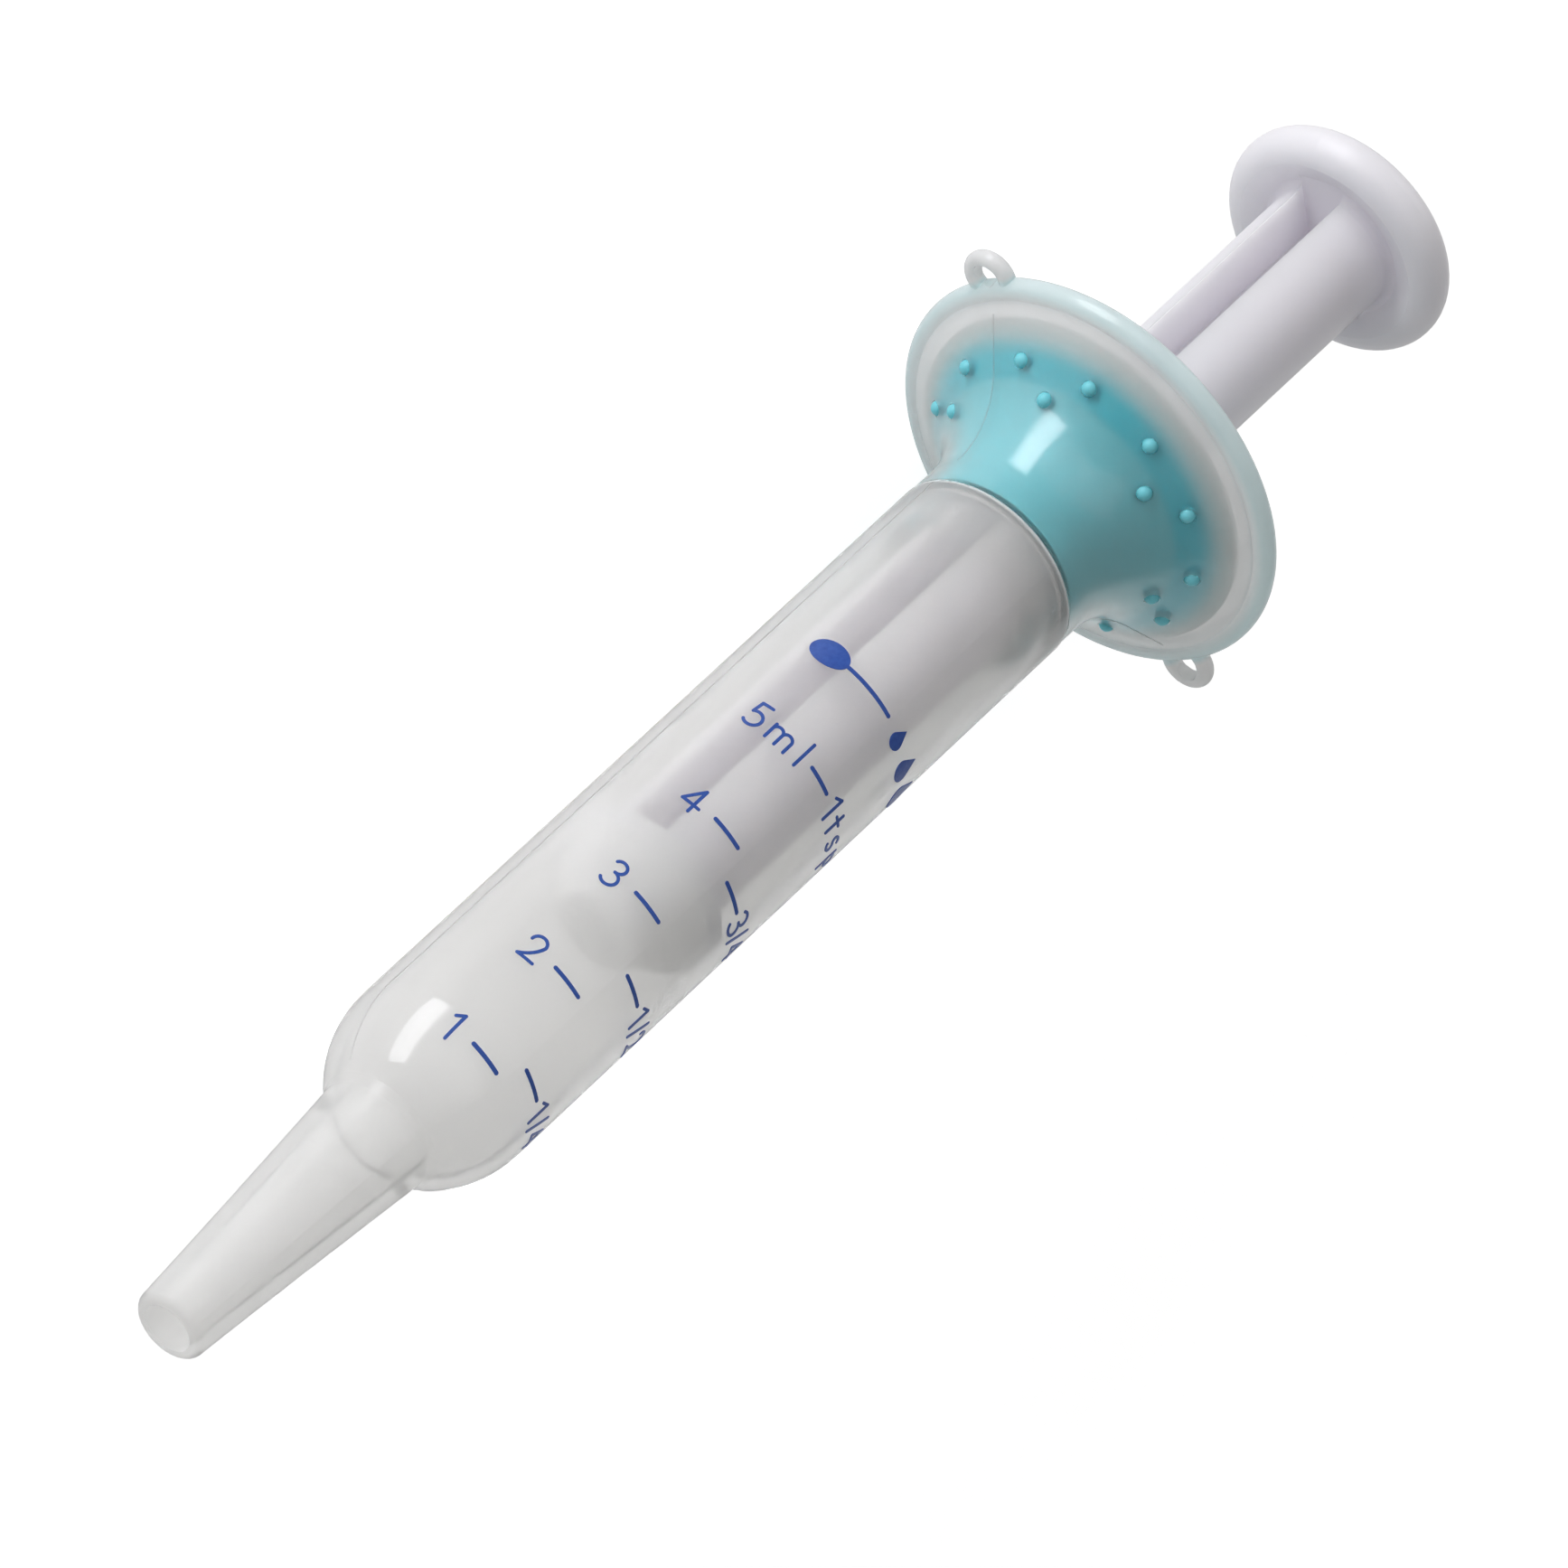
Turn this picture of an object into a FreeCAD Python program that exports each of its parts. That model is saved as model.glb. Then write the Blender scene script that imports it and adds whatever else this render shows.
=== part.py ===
"""Oral syringe, 5 ml, with a flared finger grip.

Frame: the origin is the centre of the nozzle outlet, +X points out of the nozzle, and the barrel,
collar and plunger follow each other along -X. +Z runs through the middle of the printed scale, and
the two lanyard loops are on +Y and -Y. A "depth" is a distance behind the outlet, so a point at
depth d has X = -d.
"""
import FreeCAD, Part
import math
import os
import Sketcher

V = FreeCAD.Vector
doc = FreeCAD.newDocument("OralSyringe")

# ---------------------------------------------------------------- driving dimensions
# Lengths are in millimetres and angles in degrees.
SIZES = {
    # barrel: tapered nozzle, rounded shoulder, straight tube
    "outlet_radius": 1.80,
    "outlet_land": 3.00,
    "tip_radius": 2.63,
    "tip_round": 0.60,
    "nozzle_bend_depth": 8.00,
    "nozzle_bend_radius": 3.17,
    "neck_depth": 21.30,
    "neck_radius": 4.24,
    "neck_inside_depth": 21.80,
    "neck_inside_radius": 3.20,
    "neck_fillet": 1.10,
    "shoulder_depth": 27.80,
    "shoulder_round": 8.80,
    "tube_radius": 7.10,
    "tube_wall": 0.94,
    "mouth_depth": 86.00,
    "mouth_round": 0.35,
    # flange collar: spigot, neck, trumpet flare, rolled lip, lanyard loops
    "spigot_depth": 82.90,
    "spigot_bore": 5.20,
    "spigot_gap": 0.02,
    "collar_neck": 7.02,
    "shell_wall": 0.50,
    "flare_start": 88.20,
    "flare_round": 7.80,
    "flare_angle": 54.9,
    "flare_rim": 14.10,
    "seat_depth": 86.60,
    "lip_depth": 97.80,
    "lip_centre": 14.15,
    "lip_round": 0.85,
    "loop_centre": 15.25,
    "loop_ring": 1.42,
    "loop_tube": 0.60,
    "eye_centre": 15.60,
    "eye_radius": 0.85,
    # soft grip insert and its dots
    "insert_gap": 0.02,
    "insert_wall": 1.30,
    "insert_edge": 0.25,
    "insert_rim": 12.60,
    "dot_radius": 0.55,
    "dot_stem_radius": 0.53,
    "dot_hole_gap": 0.03,
    "dot_rise": 0.30,
    "inner_dot_angle": 43.0,
    "inner_dot_turn": -2.0,
    "inner_dot_count": 6,
    "outer_dot_run": 0.43,
    "outer_dot_turn": 13.0,
    "outer_dot_count": 12,
    # plunger rod: thumb button, fluted shaft, front disc, neck and barbed head
    "head_depth": 45.50,
    "head_nose": 2.10,
    "head_widest_depth": 46.70,
    "head_radius": 3.12,
    "head_back_depth": 48.35,
    "rod_neck": 2.20,
    "disc_depth": 49.65,
    "flute_depth": 50.30,
    "rod_front_radius": 4.62,
    "rod_back_radius": 4.75,
    "flute_width": 3.40,
    "web_thickness": 1.50,
    "flute_turn": -66.5,
    "dish_depth": 125.30,
    "dish_fillet": 0.60,
    "button_depth": 126.30,
    "button_radius": 8.70,
    "button_round": 1.73,
    # piston seal
    "seal_front": 43.70,
    "seal_nose": 3.40,
    "seal_nose_round": 0.60,
    "seal_cone_depth": 47.00,
    "seal_cone": 5.30,
    "seal_groove": 5.50,
    "seal_back": 49.60,
    "seal_fit": 0.05,
    "lip_pitch": 1.15,
    "first_lip": 47.35,
    "lip_width": 0.40,
    "lip_slope": 0.25,
    "socket_gap": 0.08,
    # printed scale
    "first_tick": 26.60,
    "ml_pitch": 8.40,
    "tick_length": 2.35,
    "shared_tick_length": 2.00,
    "tick_stroke": 0.30,
    "digit_stroke": 0.23,
    "digit_height": 2.10,
    "fraction_height": 2.00,
    "ink": 0.05,
    "ink_front_depth": 22.80,
    "ink_back_depth": 85.00,
    "mark_depth": 67.60,
    "spoon_length": 3.00,
    "spoon_width": 2.10,
    "handle_dash": 1.90,
}
# Where the print sits round the barrel, in degrees from +Z towards +Y.
ML_TICK_TURN = -15.5
ML_NUMERAL_TURN = -40.0
TSP_TICK_TURN = 14.0
SHARED_TICK_TURN = -2.0                    # the tick for both 5 ml and 1 tsp
FIVE_ML_TURNS = (-50.5, -33.0, -18.0)      # one for each character
ONE_TSP_TURNS = (14.5, 25.5, 37.0, 51.0)
FRACTION_TURNS = (31.0, 41.0, 52.0)
SPOON_TURN = -48.0
HANDLE_TURNS = (-34.0, -22.0, -10.0)
DROPS = ((12.0, 0.62), (32.0, 0.78), (53.0, 0.94))   # turn, and radius in millimetres
DROP_HEIGHT = 2.9                          # of a drop's tip above its centre and radius, in radii
DROP_SINK = 0.3                            # of a drop's centre below the middle line, in millimetres

SEAL_LIPS = 2
SAME_PLACE = 0.02                          # two lengths closer than this are taken as equal

sheet = doc.addObject("Spreadsheet::Sheet", "dims")
for row, (alias, amount) in enumerate(SIZES.items(), start=1):
    sheet.set(f"A{row}", alias)
    sheet.set(f"B{row}", str(amount))
    sheet.setAlias(f"B{row}", alias)
doc.recompute()


class Size:
    """A number together with the spreadsheet expression that gives it."""

    def __init__(self, number, text):
        self.number = number
        self.text = text

    def join(self, other, sign, number):
        text = other.text if isinstance(other, Size) else repr(other)
        return Size(number, f"({self.text} {sign} {text})")

    def __add__(self, other):
        return self.join(other, "+", self.number + amount_of(other))

    def __sub__(self, other):
        return self.join(other, "-", self.number - amount_of(other))

    def __mul__(self, other):
        return self.join(other, "*", self.number * amount_of(other))

    def sine(self):
        return Size(math.sin(math.radians(self.number)), f"sin({self.text} * 1deg)")

    def cosine(self):
        return Size(math.cos(math.radians(self.number)), f"cos({self.text} * 1deg)")


def amount_of(value):
    return value.number if isinstance(value, Size) else value


def cell(alias):
    """The Size of one spreadsheet cell."""
    return Size(float(sheet.get(alias)), f"dims.{alias}")


ZERO = Size(0.0, "0")


# ---------------------------------------------------------------- helpers
def new_body(label):
    body = doc.addObject("PartDesign::Body", label)
    body.Label = label
    return body


def origin_item(body, role):
    return next(item for item in body.Origin.OriginFeatures if item.Role == role)


def new_sketch(body, name, role):
    sketch = body.newObject("Sketcher::SketchObject", name)
    sketch.AttachmentSupport = [(origin_item(body, role), "")]
    sketch.MapMode = "FlatFace"
    return sketch


def bind_distance(sketch, kind, geometry, point, size, sign):
    """Binds one coordinate of a sketch point to sign times size, measured from the origin."""
    if size.text == ZERO.text:
        axis = -2 if kind == "DistanceX" else -1
        sketch.addConstraint(Sketcher.Constraint("PointOnObject", geometry, point, axis))
        return
    forward = sign * size.number > 0
    ends = (-1, 1, geometry, point) if forward else (geometry, point, -1, 1)
    index = sketch.addConstraint(Sketcher.Constraint(kind, *ends, abs(size.number)))
    sketch.setExpression(f"Constraints[{index}]", size.text if size.number > 0 else f"-{size.text}")


def place_point(sketch, geometry, point, across, up, across_sign):
    """Fixes one sketch point at its bound distances. across_sign is -1 for depths, which run to -X."""
    bind_distance(sketch, "DistanceX", geometry, point, across, across_sign)
    bind_distance(sketch, "DistanceY", geometry, point, up, 1)


def arc_between(first, last, radius, left):
    """The short arc from first to last, with its centre on the left or the right of the way there."""
    chord = last - first
    rise = math.sqrt(radius ** 2 - (chord.Length / 2) ** 2) * (1 if left else -1)
    normal = V(-chord.y, chord.x, 0).normalize()
    centre = (first + last) * 0.5 + normal * rise
    start, end = (first, last) if left else (last, first)
    angles = [math.atan2(p.y - centre.y, p.x - centre.x) for p in (start, end)]
    return Part.ArcOfCircle(Part.Circle(centre, V(0, 0, 1), radius), *angles)


def draw_profile(sketch, corners, arcs=None):
    """A closed outline through corners, each (depth, radius).

    Where the edge that leaves a corner is an arc and not a line, arcs maps the corner's number to
    (radius, whether the centre is on the left).
    """
    arcs = arcs or {}
    points = [V(-depth.number, radius.number, 0) for depth, radius in corners]
    ends = []
    for number, first in enumerate(points):
        last = points[(number + 1) % len(points)]
        if number in arcs:
            radius, left = arcs[number]
            edge = sketch.addGeometry(arc_between(first, last, radius.number, left), False)
            index = sketch.addConstraint(Sketcher.Constraint("Radius", edge, radius.number))
            sketch.setExpression(f"Constraints[{index}]", radius.text)
            ends.append((edge, 1, 2) if left else (edge, 2, 1))
        else:
            ends.append((sketch.addGeometry(Part.LineSegment(first, last), False), 1, 2))
    for number, (edge, start, _) in enumerate(ends):
        before, _, before_end = ends[number - 1]
        sketch.addConstraint(Sketcher.Constraint("Coincident", before, before_end, edge, start))
        place_point(sketch, edge, start, *corners[number], -1)
    doc.recompute()


def draw_circle(sketch, across, up, radius, across_sign=-1):
    centre = V(across_sign * across.number, up.number, 0)
    edge = sketch.addGeometry(Part.Circle(centre, V(0, 0, 1), radius.number), False)
    index = sketch.addConstraint(Sketcher.Constraint("Radius", edge, radius.number))
    sketch.setExpression(f"Constraints[{index}]", radius.text)
    place_point(sketch, edge, 3, across, up, across_sign)
    doc.recompute()


def revolve(body, sketch, name):
    """Turns a sketch on the XZ plane a full circle about the X axis."""
    feature = body.newObject("PartDesign::Revolution", name)
    feature.Profile = sketch
    feature.ReferenceAxis = (sketch, ["H_Axis"])
    feature.Angle = 360
    sketch.Visibility = False
    doc.recompute()
    return feature


def round_edges(body, base, name, radius, wanted):
    """Fillets the edges of base for which wanted(edge) is true."""
    numbers = [f"Edge{n}" for n, edge in enumerate(base.Shape.Edges, start=1) if wanted(edge)]
    fillet = body.newObject("PartDesign::Fillet", name)
    fillet.Base = (base, numbers)
    fillet.Radius = radius.number
    fillet.setExpression("Radius", radius.text)
    doc.recompute()
    return fillet


def ring_at(depth, radius):
    """A test for the circular edges about the X axis at a depth and radius."""
    def matches(edge):
        curve = edge.Curve
        if not isinstance(curve, Part.Circle):
            return False
        off = abs(curve.Center.x + depth.number) + abs(curve.Radius - radius.number)
        return off < SAME_PLACE
    return matches


def repeat(body, originals, name, count):
    """A full-circle pattern about the X axis."""
    pattern = body.newObject("PartDesign::PolarPattern", name)
    pattern.Originals = originals
    pattern.Axis = (origin_item(body, "X_Axis"), [""])
    pattern.Angle = 360
    pattern.Occurrences = int(count.number)
    pattern.setExpression("Occurrences", count.text)
    body.Tip = pattern
    doc.recompute()
    return pattern


# ---------------------------------------------------------------- barrel
bore = cell("tube_radius") - cell("tube_wall")


def make_barrel():
    body = new_body("barrel")
    section = new_sketch(body, "barrel_section", "XZ_Plane")
    tip_flat = cell("tip_radius") - cell("tip_round")
    corners = [
        (ZERO, cell("outlet_radius")),
        (ZERO, tip_flat),
        (cell("tip_round"), cell("tip_radius")),
        (cell("nozzle_bend_depth"), cell("nozzle_bend_radius")),
        (cell("neck_depth"), cell("neck_radius")),
        (cell("shoulder_depth"), cell("tube_radius")),
        (cell("mouth_depth") - cell("mouth_round"), cell("tube_radius")),
        (cell("mouth_depth"), cell("tube_radius") - cell("mouth_round")),
        (cell("mouth_depth"), bore),
        (cell("shoulder_depth"), bore),
        (cell("neck_inside_depth"), cell("neck_inside_radius")),
        (cell("outlet_land"), cell("outlet_radius")),
    ]
    arcs = {
        1: (cell("tip_round"), True),
        4: (cell("shoulder_round"), True),
        6: (cell("mouth_round"), True),
        9: (cell("shoulder_round") - cell("tube_wall"), False),
    }
    draw_profile(section, corners, arcs)
    turned = revolve(body, section, "barrel_turned")
    neck = ring_at(cell("neck_depth"), cell("neck_radius"))
    round_edges(body, turned, "neck_round", cell("neck_fillet"), neck)
    return body


# ---------------------------------------------------------------- flare of the collar and the insert
flare_sine = cell("flare_angle").sine()
flare_cosine = cell("flare_angle").cosine()
flare_axis_radius = cell("collar_neck") + cell("flare_round")


def flare_end(offset):
    """Depth and radius where the flare's arc, moved in by offset, runs into its straight cone."""
    reach = cell("flare_round") + offset
    return cell("flare_start") + reach * flare_sine, flare_axis_radius - reach * flare_cosine


def cone_depth(offset, radius):
    """Depth of the straight cone, moved in by offset, where it has this radius."""
    depth, start = flare_end(offset)
    angle = cell("flare_angle")
    slope = Size(1 / math.tan(math.radians(angle.number)), f"(1 / tan({angle.text} * 1deg))")
    return depth + (radius - start) * slope


# ---------------------------------------------------------------- flange collar
def dot_placement(depth, radius, tilt, turn):
    """A frame on the flare's outer surface, with its own Z axis along the outward normal."""
    about_axis = FreeCAD.Rotation(V(1, 0, 0), -turn)
    lean = FreeCAD.Rotation(V(0, 1, 0), tilt)
    return FreeCAD.Placement(about_axis.multVec(V(-depth, 0, radius)), about_axis.multiply(lean))


def dot_rows():
    """Name, placement and count of the two rows of grip dots."""
    inner = cell("inner_dot_angle")
    inner_depth = cell("flare_start") + cell("flare_round") * inner.sine()
    inner_radius = flare_axis_radius - cell("flare_round") * inner.cosine()
    outer = cell("flare_angle")
    arc_depth, arc_radius = flare_end(ZERO)
    outer_depth = arc_depth + cell("outer_dot_run") * flare_cosine
    outer_radius = arc_radius + cell("outer_dot_run") * flare_sine
    yield ("inner", inner_depth, inner_radius, inner, cell("inner_dot_turn"), cell("inner_dot_count"))
    yield ("outer", outer_depth, outer_radius, outer, cell("outer_dot_turn"), cell("outer_dot_count"))


def make_collar():
    body = new_body("flange_collar")
    section = new_sketch(body, "collar_section", "XZ_Plane")
    wall = cell("shell_wall")
    inside = cell("collar_neck") - wall
    inner_depth, inner_radius = flare_end(wall)
    outer_depth, outer_radius = flare_end(ZERO)
    rim = cell("flare_rim")
    spigot = bore - cell("spigot_gap")
    corners = [
        (cell("spigot_depth"), cell("spigot_bore")),
        (cell("spigot_depth"), spigot),
        (cell("mouth_depth"), spigot),
        (cell("mouth_depth"), cell("collar_neck")),
        (cell("flare_start"), cell("collar_neck")),
        (outer_depth, outer_radius),
        (cone_depth(ZERO, rim), rim),
        (cone_depth(wall, rim), rim),
        (inner_depth, inner_radius),
        (cell("flare_start"), inside),
        (cell("seat_depth"), inside),
        (cell("seat_depth"), cell("spigot_bore")),
    ]
    arcs = {4: (cell("flare_round"), False), 8: (cell("flare_round") + wall, True)}
    draw_profile(section, corners, arcs)
    revolve(body, section, "collar_turned")

    lip = new_sketch(body, "lip_section", "XZ_Plane")
    draw_circle(lip, cell("lip_depth"), cell("lip_centre"), cell("lip_round"))
    revolve(body, lip, "rolled_lip")

    ring = body.newObject("PartDesign::AdditiveTorus", "loop_ring")
    ring.Radius1 = cell("loop_ring").number
    ring.setExpression("Radius1", cell("loop_ring").text)
    ring.Radius2 = cell("loop_tube").number
    ring.setExpression("Radius2", cell("loop_tube").text)
    centre = V(-cell("lip_depth").number, cell("loop_centre").number, 0)
    ring.Placement = FreeCAD.Placement(centre, FreeCAD.Rotation(V(0, 1, 0), 90))
    doc.recompute()

    eye = new_sketch(body, "loop_eye", "YZ_Plane")
    eye.AttachmentOffset = FreeCAD.Placement(V(0, 0, -cell("lip_depth").number), FreeCAD.Rotation())
    eye.setExpression("AttachmentOffset.Base.z", "-dims.lip_depth")
    draw_circle(eye, cell("eye_centre"), ZERO, cell("eye_radius"), across_sign=1)
    hole = body.newObject("PartDesign::Pocket", "loop_eye_cut")
    hole.Profile = eye
    hole.Midplane = True
    hole.Length = (cell("loop_tube") * 4).number
    hole.setExpression("Length", (cell("loop_tube") * 4).text)
    doc.recompute()
    repeat(body, [ring, hole], "loops", Size(2, "2"))

    for name, depth, radius, tilt, turn, count in dot_rows():
        cut = body.newObject("PartDesign::SubtractiveCylinder", f"{name}_dot_hole")
        reach = cell("shell_wall") * 2
        cut.Radius = (cell("dot_radius") + cell("dot_hole_gap")).number
        cut.setExpression("Radius", (cell("dot_radius") + cell("dot_hole_gap")).text)
        cut.Height = (reach * 2).number
        cut.setExpression("Height", (reach * 2).text)
        frame = dot_placement(depth.number, radius.number, tilt.number, turn.number)
        cut.Placement = frame.multiply(FreeCAD.Placement(V(0, 0, -reach.number), FreeCAD.Rotation()))
        doc.recompute()
        repeat(body, [cut], f"{name}_dot_holes", count)
    return body


# ---------------------------------------------------------------- soft grip insert
def make_insert():
    body = new_body("grip_insert")
    section = new_sketch(body, "insert_section", "XZ_Plane")
    near = cell("shell_wall") + cell("insert_gap")
    far = near + cell("insert_wall")
    feather = near + cell("insert_edge")
    rim = cell("insert_rim")
    near_depth, near_radius = flare_end(near)
    far_depth, far_radius = flare_end(far)
    front = cell("seat_depth") + cell("insert_gap")
    corners = [
        (front, cell("collar_neck") - far),
        (front, cell("collar_neck") - near),
        (cell("flare_start"), cell("collar_neck") - near),
        (near_depth, near_radius),
        (cone_depth(near, rim), rim),
        (cone_depth(feather, rim), rim),
        (far_depth, far_radius),
        (cell("flare_start"), cell("collar_neck") - far),
    ]
    arcs = {2: (cell("flare_round") + near, False), 6: (cell("flare_round") + far, True)}
    draw_profile(section, corners, arcs)
    revolve(body, section, "insert_turned")

    radius = cell("dot_radius")
    stem = near + cell("insert_wall") * 0.5
    crown = radius - cell("dot_rise")
    for name, depth, ring, tilt, turn, count in dot_rows():
        frame = dot_placement(depth.number, ring.number, tilt.number, turn.number)
        peg = body.newObject("PartDesign::AdditiveCylinder", f"{name}_dot_stem")
        peg.Radius = cell("dot_stem_radius").number
        peg.setExpression("Radius", cell("dot_stem_radius").text)
        peg.Height = (stem - crown).number
        peg.setExpression("Height", (stem - crown).text)
        peg.Placement = frame.multiply(FreeCAD.Placement(V(0, 0, -stem.number), FreeCAD.Rotation()))
        doc.recompute()
        repeat(body, [peg], f"{name}_dot_stems", count)
        dome = body.newObject("PartDesign::AdditiveSphere", f"{name}_dot_dome")
        dome.Radius = radius.number
        dome.setExpression("Radius", radius.text)
        dome.Placement = frame.multiply(FreeCAD.Placement(V(0, 0, -crown.number), FreeCAD.Rotation()))
        doc.recompute()
        repeat(body, [dome], f"{name}_dot_domes", count)
    return body


# ---------------------------------------------------------------- plunger rod
def make_rod():
    body = new_body("plunger_rod")
    section = new_sketch(body, "rod_section", "XZ_Plane")
    rim = cell("button_radius") - cell("button_round")
    button_front = cell("button_depth") - cell("button_round")
    button_back = cell("button_depth") + cell("button_round")
    corners = [
        (cell("head_depth"), ZERO),
        (cell("head_depth"), cell("head_nose")),
        (cell("head_widest_depth"), cell("head_radius")),
        (cell("head_back_depth"), cell("head_radius")),
        (cell("head_back_depth"), cell("rod_neck")),
        (cell("disc_depth"), cell("rod_neck")),
        (cell("disc_depth"), cell("rod_front_radius")),
        (cell("dish_depth") - cell("dish_fillet"), cell("rod_back_radius")),
        (cell("dish_depth"), cell("rod_back_radius") + cell("dish_fillet")),
        (button_front, rim),
        (cell("button_depth"), cell("button_radius")),
        (button_back, rim),
        (button_back, ZERO),
    ]
    arcs = {
        7: (cell("dish_fillet"), False),
        9: (cell("button_round"), True),
        10: (cell("button_round"), True),
    }
    draw_profile(section, corners, arcs)
    revolve(body, section, "rod_turned")

    flute = new_sketch(body, "flute_outline", "XY_Plane")
    half = cell("flute_width") * 0.5
    front, back = cell("flute_depth"), cell("dish_depth")
    draw_profile(flute, [(front, ZERO - half), (back, ZERO - half), (back, half), (front, half)])
    # The flute is cut from the web's face outwards, then repeated on the other side of the web.
    cut = body.newObject("PartDesign::Pocket", "flute_cut")
    flute.AttachmentOffset = FreeCAD.Placement(V(0, 0, cell("web_thickness").number / 2), FreeCAD.Rotation())
    flute.setExpression("AttachmentOffset.Base.z", (cell("web_thickness") * 0.5).text)
    cut.Profile = flute
    cut.Reversed = True
    cut.Length = cell("rod_back_radius").number
    cut.setExpression("Length", cell("rod_back_radius").text)
    doc.recompute()
    repeat(body, [cut], "flutes", Size(2, "2"))
    turn = FreeCAD.Rotation(V(1, 0, 0), -cell("flute_turn").number)
    body.Placement = FreeCAD.Placement(V(0, 0, 0), turn)
    doc.recompute()
    return body


# ---------------------------------------------------------------- piston seal
def make_seal():
    body = new_body("piston_seal")
    section = new_sketch(body, "seal_section", "XZ_Plane")
    gap = cell("socket_gap")
    crest = bore - cell("seal_fit")
    corners = [
        (cell("seal_front"), ZERO),
        (cell("seal_front"), cell("seal_nose") - cell("seal_nose_round")),
        (cell("seal_front") + cell("seal_nose_round"), cell("seal_nose")),
        (cell("seal_cone_depth"), cell("seal_cone")),
    ]
    for number in range(SEAL_LIPS):
        start = cell("first_lip") + cell("lip_pitch") * number
        corners += [
            (start, cell("seal_groove")),
            (start + cell("lip_slope"), crest),
            (start + cell("lip_slope") + cell("lip_width"), crest),
            (start + cell("lip_slope") * 2 + cell("lip_width"), cell("seal_groove")),
        ]
    corners += [
        (cell("seal_back"), cell("seal_groove")),
        (cell("seal_back"), cell("rod_neck") + gap),
        (cell("head_back_depth") + gap, cell("rod_neck") + gap),
        (cell("head_back_depth") + gap, cell("head_radius") + gap),
        (cell("head_widest_depth") - gap, cell("head_radius") + gap),
        (cell("head_depth") - gap, cell("head_nose") + gap),
        (cell("head_depth") - gap, ZERO),
    ]
    draw_profile(section, corners, {1: (cell("seal_nose_round"), True)})
    revolve(body, section, "seal_turned")
    return body


# ---------------------------------------------------------------- printed scale
# Strokes of each character, in digit heights, with the character's foot line at 0. Two points are a
# straight stroke, three are an arc through them.
GLYPHS = {
    "1": [[(0.08, 0.80), (0.32, 1.0)], [(0.32, 1.0), (0.32, 0.0)]],
    "2": [[(0.04, 0.74), (0.30, 1.0), (0.57, 0.73)], [(0.57, 0.73), (0.45, 0.43), (0.02, 0.0)],
          [(0.02, 0.0), (0.62, 0.0)]],
    "3": [[(0.08, 0.90), (0.50, 0.86), (0.27, 0.53)], [(0.27, 0.53), (0.52, 0.13), (0.03, 0.10)]],
    "4": [[(0.44, 0.0), (0.44, 1.0)], [(0.44, 1.0), (0.0, 0.30)], [(0.0, 0.30), (0.64, 0.30)]],
    "5": [[(0.53, 1.0), (0.14, 1.0)], [(0.14, 1.0), (0.08, 0.56)],
          [(0.08, 0.56), (0.56, 0.28), (0.02, 0.12)]],
    "m": [[(0.0, 0.0), (0.0, 0.64)], [(0.0, 0.42), (0.19, 0.62), (0.38, 0.42)], [(0.38, 0.42), (0.38, 0.0)],
          [(0.38, 0.42), (0.57, 0.62), (0.76, 0.42)], [(0.76, 0.42), (0.76, 0.0)]],
    "l": [[(0.08, 0.0), (0.08, 1.08)]],
    "t": [[(0.18, 0.92), (0.18, 0.0)], [(0.0, 0.62), (0.36, 0.62)]],
    "s": [[(0.36, 0.56), (0.10, 0.53), (0.21, 0.32)], [(0.21, 0.32), (0.33, 0.08), (0.04, 0.06)]],
    "p": [[(0.04, 0.62), (0.04, -0.38)], [(0.04, 0.31), (0.25, 0.54), (0.46, 0.31)],
          [(0.46, 0.31), (0.25, 0.08), (0.04, 0.31)]],
    "/": [[(0.0, -0.08), (0.34, 1.08)]],
}
GLYPH_WIDTHS = {"1": 0.40, "2": 0.62, "3": 0.58, "4": 0.64, "5": 0.58, "m": 0.76, "l": 0.16, "t": 0.36,
                "s": 0.40, "p": 0.50, "/": 0.34}
TUBE = cell("tube_radius").number
INK = cell("ink").number
STAMP_SINK = 1.5         # how far a flat shape is pushed in below the tube's skin, and out above it
STAMP_RISE = 0.5


def stroke_face(points, width):
    """A flat stroke with round ends. Glyph right is +Y and glyph up is -X."""
    path = [V(-up, right, 0) for right, up in points]
    half = width / 2
    if len(path) == 2:
        along = (path[1] - path[0]).normalize() * half
        side = V(-along.y, along.x, 0)
        edges = [
            Part.LineSegment(path[0] + side, path[1] + side).toShape(),
            Part.Arc(path[1] + side, path[1] + along, path[1] - side).toShape(),
            Part.LineSegment(path[1] - side, path[0] - side).toShape(),
            Part.Arc(path[0] - side, path[0] - along, path[0] + side).toShape(),
        ]
        return Part.Face(Part.Wire(edges))
    circle = Part.Arc(*path).toShape().Curve
    centre, radius = circle.Center, circle.Radius
    outer = [centre + (p - centre) * ((radius + half) / radius) for p in path]
    inner = [centre + (p - centre) * ((radius - half) / radius) for p in path]
    way = V(0, 0, 1 if (path[0] - centre).cross(path[1] - centre).z > 0 else -1)
    head = way.cross(path[0] - centre).normalize() * -half
    tail = way.cross(path[2] - centre).normalize() * half
    edges = [
        Part.Arc(*outer).toShape(),
        Part.Arc(outer[2], path[2] + tail, inner[2]).toShape(),
        Part.Arc(inner[2], inner[1], inner[0]).toShape(),
        Part.Arc(inner[0], path[0] + head, outer[0]).toShape(),
    ]
    return Part.Face(Part.Wire(edges))


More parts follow.
